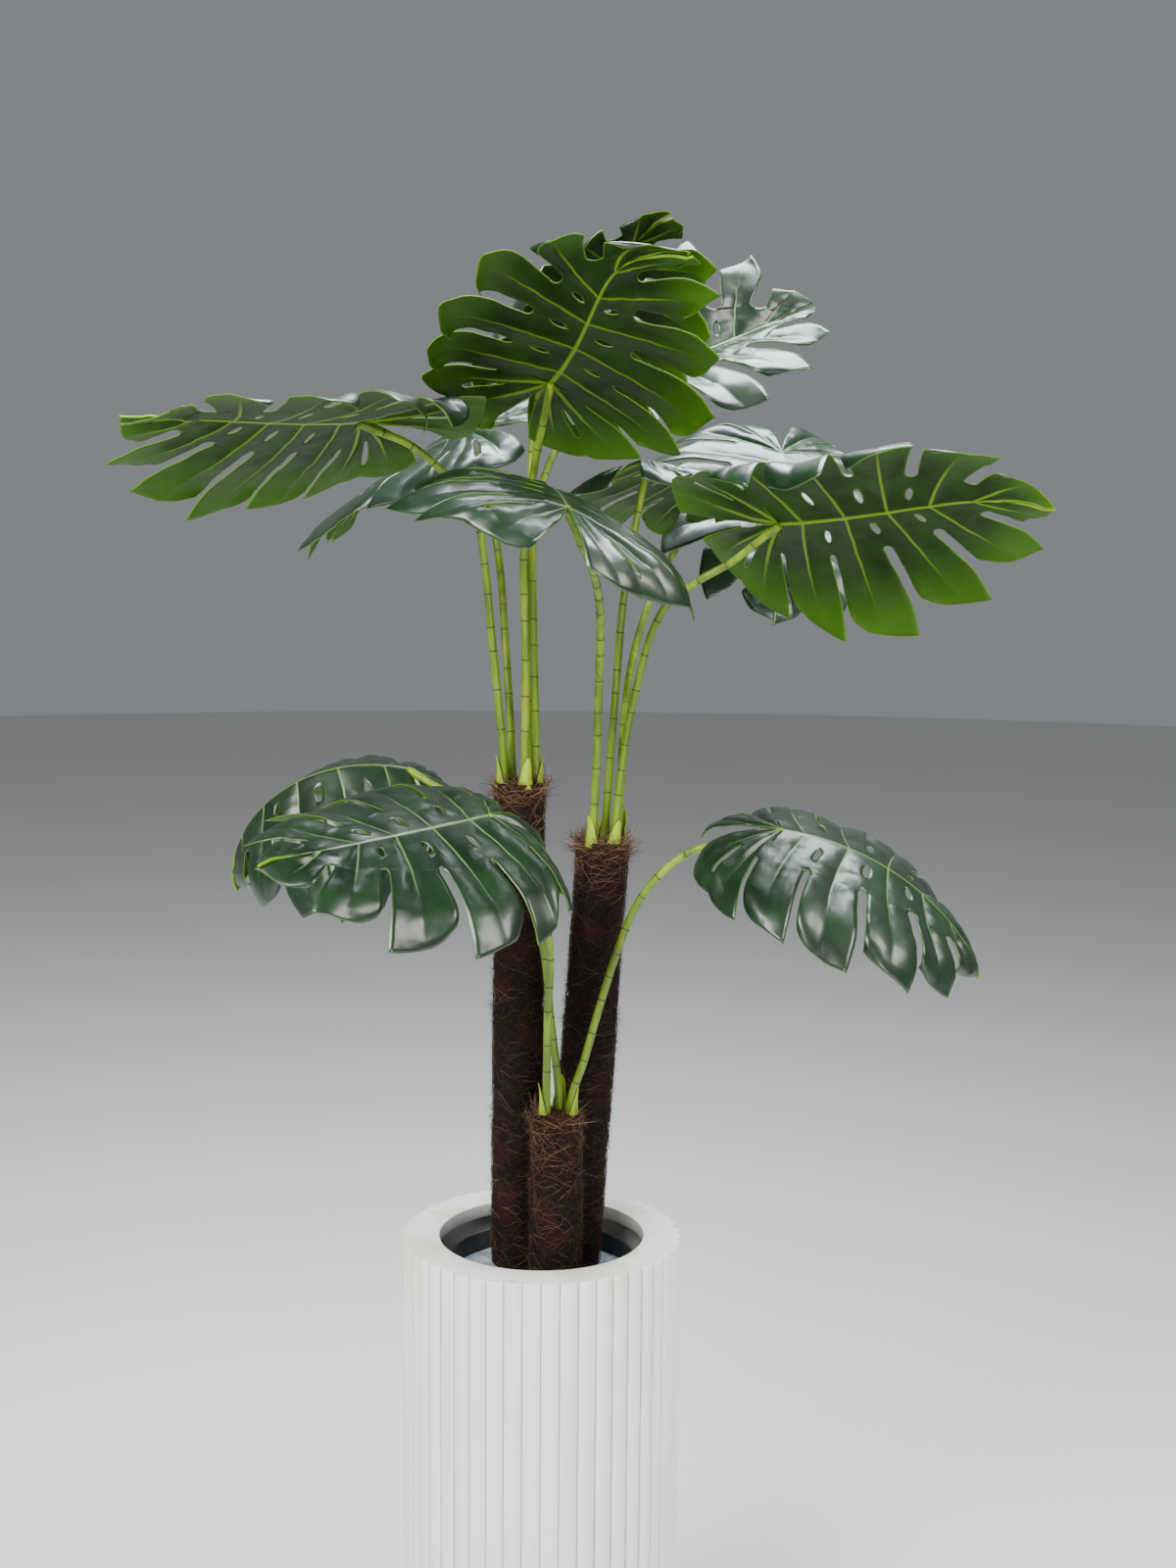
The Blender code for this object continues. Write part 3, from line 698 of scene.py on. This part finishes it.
def fibre_template():
    """A thin rod along Z from 0 to 1, pointed at both ends."""
    bm = bmesh.new()
    straight_tube(bm, FIBRE_SIDES, FIBRE_LEVELS)
    for vert in bm.verts:
        vert.co.z /= FIBRE_LEVELS - 1
        vert.co.xy *= 1 - 0.75 * abs(2 * vert.co.z - 1) ** 3
    mesh = bpy.data.meshes.new("fibre")
    bm.to_mesh(mesh)
    bm.free()
    return mesh


def lying_fibre(draw, trunk, start, length):
    """A fibre that lies round a trunk, as a function of the way along it and two offsets."""
    angle = draw.uniform(0, math.tau)
    curl = draw.gauss(0, 0.45)
    long = draw.uniform(0.010, 0.050)
    slope = draw.gauss(0, 0.8)
    middle = draw.uniform(start + 0.004, length - 0.003)
    lift = draw.uniform(-0.0004, 0.0012)
    loose = draw.random() ** 5 * 0.008
    loose += draw.random() ** 2 * 0.012 * max(0, 1 - (length - middle) / 0.05)
    for end, _ in trunk["sleeves"][:-1]:
        if abs(middle - end + trunk["foot"][2]) < 0.012:
            loose += draw.random() ** 2 * 0.009

    def place(share, out, up):
        s = share - 0.5
        radius = sleeve_radius(trunk, middle) + lift + loose * 4 * s * s
        turn = angle + (s * math.cos(slope) + curl * 0.35 * s * s) * long / radius
        rise = middle + s * long * math.sin(slope) + curl * long * 0.25 * math.sin(5 * s)
        rise = min(length + 0.002, max(start, rise + up))
        reach = radius + out
        return math.cos(turn) * reach, math.sin(turn) * reach, rise

    return place


def tuft_fibre(draw, trunk, length):
    """A fibre that stands up and out at a trunk's top."""
    angle = draw.uniform(0, math.tau)
    curl = draw.uniform(-1, 1)
    long = draw.uniform(0.010, 0.034)
    lean = draw.uniform(-0.5, 1.2)
    base = sleeve_radius(trunk, length) * draw.uniform(0.70, 1.0)
    start = length - draw.uniform(0.001, 0.022)
    swing = draw.uniform(-1.2, 1.2)

    def place(share, out, up):
        reach = base + share * long * math.sin(lean) + curl * 0.005 * math.sin(3 * share) + out
        turn = angle + swing * share * long / base
        rise = start + share * long * math.cos(lean) - 0.008 * lean * share ** 2
        return math.cos(turn) * reach, math.sin(turn) * reach, rise + up

    return place


def make_fibres(name, lying, tuft, finish, seed):
    """Coir fibres that lie round a trunk, and a tuft that stands at its top."""
    trunk = TRUNKS[name]
    length = trunk_length(trunk)
    start = coir_foot(trunk)
    draw = random.Random(seed)
    template = fibre_template()
    size = len(template.vertices)
    bm = bmesh.new()
    for _ in range(lying + tuft):
        bm.from_mesh(template, face_normals=False)
    bpy.data.meshes.remove(template)
    tone = bm.verts.layers.float.new("tone")
    bm.verts.ensure_lookup_table()
    for number in range(lying + tuft):
        shade = 0.8 * draw.random() ** 1.8
        thick = draw.uniform(0.00014, 0.00024) + 0.00012 * shade
        if number < lying:
            place = lying_fibre(draw, trunk, start, length)
        else:
            place = tuft_fibre(draw, trunk, length)
        for vert in bm.verts[number * size:(number + 1) * size]:
            vert.co = place(vert.co.z, vert.co.x * thick, vert.co.y * thick)
            # Lighter within 8 cm of the top: partly paler fibres there, partly painted light, as the
            # lower trunk stands in shade
            vert[tone] = shade + 0.35 * max(0, 1 - (length - vert.co.z) / 0.08)
    bmesh.ops.transform(bm, matrix=trunk_frame(trunk), verts=bm.verts)
    smooth(bm)
    add_piece("trunk_fibres_" + name, bm, [finish], ["trunk_" + name])


# Stalks


def leaf_frame(leaf):
    """The leaf's frame: X to its right, Y to its tip and Z out of its upper side."""
    heading = Matrix.Rotation(math.radians(leaf["heading"] - 90), 4, "Z")
    rise = Matrix.Rotation(math.radians(leaf["rise"]), 4, "X")
    roll = Matrix.Rotation(math.radians(leaf["roll"]), 4, "Y")
    return Matrix.Translation(leaf["junction"]) @ heading @ rise @ roll


def smooth_path(knots, step):
    """Points along a smooth curve through the knots, about a step apart."""
    chords = [(end - start).normalized() for start, end in zip(knots, knots[1:])]
    ways = [chords[0]]
    for before, after in zip(chords, chords[1:]):
        ways.append((before + after).normalized())
    ways.append(chords[-1])
    path = []
    for number, (start, end) in enumerate(zip(knots, knots[1:])):
        length = (end - start).length
        points = max(2, round(length / step) + 1)
        path += interpolate_bezier(
            start, start + ways[number] * length / 3,
            end - ways[number + 1] * length / 3, end, points)[:-1]
    return path + [knots[-1]]


def stalk_foot(leaf):
    """Where a stalk leaves its trunk's top, and the trunk's direction there."""
    place = trunk_frame(TRUNKS[leaf["trunk"]])
    foot = place @ Vector((*leaf["foot"], trunk_length(TRUNKS[leaf["trunk"]])))
    return foot, place.col[2].xyz


def stalk_path(leaf):
    foot, up = stalk_foot(leaf)
    target = leaf_frame(leaf) @ Vector((0, 0, -NECK_BELOW_LEAF))
    arrival = (target - Vector(leaf["way"][-1])).normalized()
    knots = [foot - up * 0.004, foot + up * SHEATH_HEIGHT / 3]
    knots += [Vector(point) for point in leaf["way"]]
    knots += [target - arrival * 0.028, target + arrival * 0.002]
    return smooth_path(knots, STALK_STEP)


def stalk_stations(draw, length):
    """Distances along a stalk with their share of its radius, and where its joints are."""
    joints = []
    along = draw.uniform(0.045, 0.075)
    while along < length - 0.03:
        joints.append(along)
        along += draw.uniform(*JOINT_SPACING)
    count = round(length / STALK_STEP)
    stations = [(length * step / count, 1.0) for step in range(count + 1)]
    for joint in joints:
        stations = [pair for pair in stations if abs(pair[0] - joint) > 0.0042]
        stations += [(joint + ahead, share) for ahead, share in JOINT_PROFILE]
    return sorted(stations), joints


def make_stalk(name, finish, seed):
    """A ringed tube along the stalk's path, a little thicker at its ends."""
    path = stalk_path(LEAVES[name])
    distances = [0]
    for start, end in zip(path, path[1:]):
        distances.append(distances[-1] + (end - start).length)
    length = distances[-1]
    stations, joints = stalk_stations(random.Random(seed), length)
    spots = []
    turn = Vector((0, 0, 1)).rotation_difference(path[1] - path[0])
    before = path[1] - path[0]
    piece = 0
    for key, share in stations:
        while piece < len(path) - 2 and key > distances[piece + 1]:
            piece += 1
        way = path[piece + 1] - path[piece]
        place = path[piece] + way * (key - distances[piece]) / way.length
        turn = before.rotation_difference(way) @ turn
        before = way
        radius = STALK_RADIUS * share * (1 + (STALK_TIP_SHARE - 1) * key / length)
        radius *= 1 + 0.12 * max(0, 1 - key / 0.04) + 0.03 * noise.noise(place * 25)
        radius *= 1 + 0.20 * max(0, 1 - abs(length - 0.012 - key) / 0.014)
        spots.append((place, turn, radius, min(abs(key - joint) for joint in joints)))
    bm = bmesh.new()
    ring = bm.verts.layers.float.new("ring")
    straight_tube(bm, STALK_SIDES, len(spots))
    for vert in bm.verts:
        place, turn, radius, apart = spots[round(vert.co.z)]
        vert.co = place + turn @ Vector((vert.co.x * radius, vert.co.y * radius, 0))
        vert[ring] = apart
    smooth(bm)
    add_piece("stalk_" + name, bm, [finish], ["petiole_" + name])


def make_sheath(name, finish, seed):
    """A pointed bract that wraps the foot of a stalk on its outer side."""
    draw = random.Random(seed)
    leaf = LEAVES[name]
    foot, up = stalk_foot(leaf)
    height = draw.uniform(0.036, 0.050)
    facing = math.atan2(leaf["foot"][1], leaf["foot"][0]) + draw.uniform(-0.5, 0.5)
    reach = STALK_RADIUS * 1.45
    side = Vector((math.cos(facing), math.sin(facing), 0))
    across = up.cross(side)
    bm = bmesh.new()
    rim = bm.verts.layers.float.new("rim")
    bmesh.ops.create_grid(bm, x_segments=12, y_segments=14, size=1)
    for vert in bm.verts:
        wide, share = vert.co.x, (vert.co.y + 1) / 2
        span = 1.75 * (1 - share) ** 0.7 + 0.02
        swell = reach * (1 + 0.45 * (1 - share) ** 2) + 0.003 * share ** 3
        angle = wide * span
        vert.co = (foot + up * (height * share - 0.006)
                   + side * math.cos(angle) * swell + across * math.sin(angle) * swell)
        vert[rim] = (1 - abs(wide)) * span * swell
    bmesh.ops.recalc_face_normals(bm, faces=bm.faces)
    middle = min(bm.faces, key=lambda face: (face.calc_center_median() - foot - side).length)
    if middle.normal.dot(side) < 0:
        bmesh.ops.reverse_faces(bm, faces=bm.faces)
    smooth(bm)
    piece = add_piece("sheath_" + name, bm, [finish], ["petiole_" + name])
    shell = piece.modifiers.new("thickness", "SOLIDIFY")
    shell.thickness = 0.0009
    shell.offset = -1


# Leaves


def edge_point(s):
    """The outline of a right half at s lobes from the sinus."""
    turn = SINUS_TURN * (1 - s / LOBES)
    if turn < math.pi / 2:
        x = HALF_WIDTH * math.sin(turn) ** 1.2
        y = WIDEST_AT + (TIP_REACH - WIDEST_AT) * math.cos(turn)
    else:
        x = HALF_WIDTH * math.sin(turn) ** 0.85
        y = WIDEST_AT + (WIDEST_AT + LOBE_REACH) * math.cos(turn)
    return Vector((x, y))


def vein_root(s):
    """Where on the midrib the way out at s starts."""
    along = max(0, s - LOBES_AT_JUNCTION) / (LOBES - LOBES_AT_JUNCTION)
    return Vector((0, MIDRIB_SHARE * TIP_REACH * along ** 0.95))


def flat_point(s, t, reach):
    """The flat leaf at share t of the bowed way out at s, with its end moved by reach."""
    root = vein_root(s)
    way = edge_point(s) - root
    bow = VEIN_BOW * (1 - (s / LOBES) ** 4)
    middle = way / 2 + bow * Vector((way.y, -way.x))
    return root + (2 * t * (1 - t) * middle + t * t * way) * (1 + reach)


def cut_rows(number, wider):
    """The rows beside the boundary below lobe number, as (share out, half width)."""
    oval_start, oval_end, oval_width = OVALS.get(number, (0.11, 0.24, 0))
    start, end, width = CUTS.get(number, (0.40, 0.88, 0))
    width *= wider
    opens = end == 1
    last = 0.90 if opens else end
    ends = (0, oval_start, oval_end, start, last, 1)
    rows = []
    for stretch, count in enumerate(ROW_COUNTS):
        low, high = ends[stretch], ends[stretch + 1]
        for step in range(count):
            share = step / count
            half = 0
            if stretch == 1:
                half = oval_width * math.sin(math.pi * share)
                share = (1 - math.cos(math.pi * share)) / 2
            if stretch == 3 and opens:
                share = 1 - math.cos(math.pi / 2 * share)
            elif stretch == 3:
                half = width * math.sin(math.pi * share) ** 0.55
                share = (1 - math.cos(math.pi * share)) / 2
            rows.append((low + (high - low) * share, half))
    rows.append((1, 0))
    if opens:
        rows = [(t, open_width(t, start, width) if t > start else half) for t, half in rows]
    return rows


def open_width(t, start, width):
    """The half width of an open cut: a round end, a narrow middle and a flared mouth."""
    share = (t - start) / (1 - start)
    end = min(1, (t - start) / 0.05)
    flare = (max(0, share - 0.7) / 0.3) ** 1.5
    flare *= 9 * width
    return width * (1.1 - 0.5 * share + flare) * math.sqrt(1 - (1 - end) ** 2)


def corner_reach(lobe, rho, t):
    """How far a lobe's end reaches past the outline: pointed above, and rounded below."""
    reach = -SCALLOP * abs(2 * rho - 1) ** 3 * t ** 5
    if lobe == LOBES - 1:
        reach = TIP_POINT * rho ** 4 * t ** 2
    start, end, width = CUTS.get(lobe + 1, (0, 0, 0))
    if end == 1:
        reach += CORNER_OUT * width * rho ** 3 * max(0, (t - start) / (1 - start)) ** 3
    start, end, width = CUTS.get(lobe, (0, 0, 0))
    if end == 1:
        back = max(0, (t - start) / (1 - start)) ** 3
        reach -= CORNER_BACK * width * (1 - rho) ** 3 * back
    return reach


def bent_point(leaf, side, flat, relief):
    """A point of the flat leaf after the leaf folds, arches and droops."""
    half = 0 if side < 0 else 1
    fold = math.radians(leaf["fold"][half])
    arch = math.radians(leaf["arch"][half])
    lean = fold + arch * flat.x / HALF_WIDTH
    across = HALF_WIDTH / arch * (math.sin(lean) - math.sin(fold))
    height = HALF_WIDTH / arch * (math.cos(lean) - math.cos(fold))
    across += relief * math.sin(lean)
    height += relief * math.cos(lean)
    if flat.y >= 0:
        bend = math.radians(leaf["droop"]) / TIP_REACH
    else:
        bend = math.radians(leaf["lobe_droop"]) / LOBE_REACH
    turn = bend * flat.y
    along = math.sin(turn) / bend + height * math.sin(turn)
    up = (math.cos(turn) - 1) / bend + height * math.cos(turn)
    return Vector((side * across, along, up)) * leaf["size"]


def curled(leaf, side, s, t, flat, relief, seed):
    """The outer part of a lobe rolled down round its end, as a flat place and a relief."""
    way = edge_point(s) - vein_root(s)
    vary = 1 + 0.45 * noise.noise(Vector((s * 0.9, seed, side)))
    angle = math.radians(leaf["curl"][0 if side < 0 else 1]) * vary
    if "curl_at" in leaf:
        angle *= 0.15 + 0.85 * math.exp(-((s - leaf["curl_at"]) / 1.3) ** 2)
    radius = (1 - CURL_START) * way.length / angle
    past = max(0, t - CURL_START) * way.length
    drawn = past - radius * math.sin(past / radius)
    drop = radius * (1 - math.cos(past / radius))
    return flat - way.normalized() * drawn, relief - drop


def leaf_relief(flat, seed, lobe, rho, t, vein_gap):
    """How far the upper side stands off the plain curve: creased veins and puffed skin."""
    relief = EDGE_WAVE * t ** 1.5 * math.sin(math.pi * (lobe + rho) + seed)
    bulge = 4 * t * (1 - t)
    relief -= VEIN_SINK * math.sin(math.pi * rho) * bulge
    relief += PUFF * math.sin(math.pi * abs(2 * rho - 1)) * bulge
    relief -= CREASE * math.exp(-(vein_gap / 0.0035) ** 2) * min(1, 8 * t) * (1 - t ** 3)
    spot = Vector((flat.x, flat.y, seed))
    ripple = noise.noise(spot * 45) + 0.5 * noise.noise(spot * 110)
    return relief + RIPPLE * ripple * min(1, 5 * t)


def add_lobe(bm, layers, leaf, side, lobe):
    """One lobe's grid: columns from cut to cut, rows from the midrib out to the edge."""
    below, above = cut_rows(lobe, leaf["cut"]), cut_rows(lobe + 1, leaf["cut"])
    columns, rows = len(COLUMNS) - 1, len(below) - 1
    grid = bmesh.ops.create_grid(bm, x_segments=columns, y_segments=rows, size=1)["verts"]
    if side > 0:
        faces = {face for vert in grid for face in vert.link_faces}
        bmesh.ops.reverse_faces(bm, faces=list(faces))
    seed = math.radians(leaf["heading"])
    for vert in grid:
        rho = COLUMNS[round((vert.co.x + 1) / 2 * columns)]
        row = round((vert.co.y + 1) / 2 * rows)
        (low_t, low_cut), (high_t, high_cut) = below[row], above[row]
        t = low_t + (high_t - low_t) * rho
        if rho < 0.5:
            s = lobe + low_cut + (1 - 2 * low_cut) * rho
        else:
            s = lobe + 1 - high_cut - (1 - 2 * high_cut) * (1 - rho)
        reach = corner_reach(lobe, rho, t)
        flat = flat_point(s, t, reach)
        vein_gap = (flat - flat_point(lobe + 0.5, t, reach)).length
        relief = leaf_relief(flat, seed * side, lobe, rho, t, vein_gap)
        place, relief = curled(leaf, side, s, t, flat, relief, seed)
        vert.co = bent_point(leaf, side, place, relief)
        ahead = min(1, max(0, flat.y / TIP_REACH))
        vert.co.x += 2 * leaf["bow"] * ahead ** 1.5 * (1 - ahead ** 6)
        vein_share = max(0, 1 - vein_gap / 0.004) * (1 - 0.8 * t)
        rib_gap = flat.x if flat.y > 0 else flat.length
        rib_width = MIDRIB_HALF_WIDTH * (1 - 0.7 * max(0, flat.y) / TIP_REACH)
        vert[layers["vein"]] = vein_gap / (VEIN_HALF_WIDTH * (1 - 0.6 * t))
        vert[layers["rib"]] = rib_gap / rib_width
        vert[layers["out"]] = t
        thick = max(0.42 * vein_share, 1 - rib_gap / (2 * rib_width))
        vert[layers["ridge"]][0] = max(0, min(1, thick))


def make_leaf(name, finishes):
    leaf = LEAVES[name]
    bm = bmesh.new()
    layers = {key: bm.verts.layers.float.new(key) for key in ("vein", "rib", "out", "rim")}
    layers["ridge"] = bm.verts.layers.deform.verify()
    for side in (-1, 1):
        for lobe in range(LOBES):
            add_lobe(bm, layers, leaf, side, lobe)
    bmesh.ops.remove_doubles(bm, verts=bm.verts, dist=0.00002)
    edge = [vert for vert in bm.verts if vert.is_boundary]
    tree = kdtree.KDTree(len(edge))
    for number, vert in enumerate(edge):
        tree.insert(vert.co, number)
    tree.balance()
    for vert in bm.verts:
        vert[layers["rim"]] = tree.find(vert.co)[2]
    bmesh.ops.transform(bm, matrix=leaf_frame(leaf), verts=bm.verts)
    smooth(bm)
    piece = add_piece("leaf_" + name, bm, finishes, ["blade_" + name])
    ridges = piece.vertex_groups.new(name="ridges")
    shell = piece.modifiers.new("thickness", "SOLIDIFY")
    shell.thickness = RIDGE_THICKNESS
    shell.offset = -1
    shell.vertex_group = ridges.name
    shell.thickness_vertex_group = BLADE_THICKNESS / RIDGE_THICKNESS
    shell.material_offset = 1
    shell.material_offset_rim = 1


# Floor, light and camera


def make_floor(finish):
    bm = bmesh.new()
    bmesh.ops.create_circle(bm, cap_ends=True, segments=96, radius=14)
    mesh = bpy.data.meshes.new("floor")
    bm.to_mesh(mesh)
    bm.free()
    mesh.materials.append(finish)
    floor = bpy.data.objects.new("floor", mesh)
    bpy.context.scene.collection.objects.link(floor)


def add_light(name, place, aim, size, power, colour):
    data = bpy.data.lights.new(name, "AREA")
    data.shape = "RECTANGLE"
    data.size, data.size_y = size
    data.energy = power
    data.color = colour
    light = bpy.data.objects.new(name, data)
    place = Vector(place)
    turn = (Vector(aim) - place).to_track_quat("-Z", "Y").to_matrix().to_4x4()
    light.matrix_world = Matrix.Translation(place) @ turn
    bpy.context.scene.collection.objects.link(light)


def make_light():
    world = bpy.data.worlds.new("studio")
    world.use_nodes = True
    background = world.node_tree.nodes["Background"]
    background.inputs["Color"].default_value = (0.80, 0.83, 0.87, 1)
    background.inputs["Strength"].default_value = 0.28
    bpy.context.scene.world = world
    add_light("key", (-1.7, -2.2, 3.3), (0, 0, 0.9), (2.4, 1.8), 270, (1, 0.985, 0.95))
    add_light("top", (0.5, 0.8, 3.5), (0, 0, 1.3), (1.8, 1.3), 170, (0.86, 0.94, 1))
    add_light("side", (2.4, -1.0, 2.9), (0, 0, 1.2), (1.4, 1.2), 70, (1, 0.97, 0.90))
    add_light("front", (1.2, -3.8, 0.8), (0, 0, 0.8), (1.6, 1.4), 75, (0.98, 0.98, 1))


def make_camera():
    data = bpy.data.cameras.new("camera")
    data.lens = LENS
    data.sensor_width = 36
    data.sensor_fit = "AUTO"
    camera = bpy.data.objects.new("camera", data)
    yaw = Matrix.Rotation(EYE_YAW, 4, "Z")
    pitch = Matrix.Rotation(math.pi / 2 + EYE_PITCH, 4, "X")
    roll = Matrix.Rotation(EYE_ROLL, 4, "Z")
    camera.matrix_world = Matrix.Translation(EYE) @ yaw @ pitch @ roll
    bpy.context.scene.collection.objects.link(camera)
    bpy.context.scene.camera = camera


def main():
    make_camera()
    make_light()
    make_floor(floor_finish())
    make_planter(planter_finish())
    make_nursery_pot(nursery_finish())
    make_fill(fill_finish())
    coir, fibre = coir_finish(), fibre_finish()
    for number, name in enumerate(TRUNKS):
        make_trunk_body(name, coir)
        make_fibres(name, *FIBRE_COUNTS[name], fibre, number + 1)
    stalk, sheath = stalk_finish(), sheath_finish()
    leaf_sides = [leaf_top_finish(), leaf_underside_finish()]
    for number, name in enumerate(LEAVES):
        make_stalk(name, stalk, number + 20)
        make_sheath(name, sheath, number + 60)
        make_leaf(name, leaf_sides)


main()
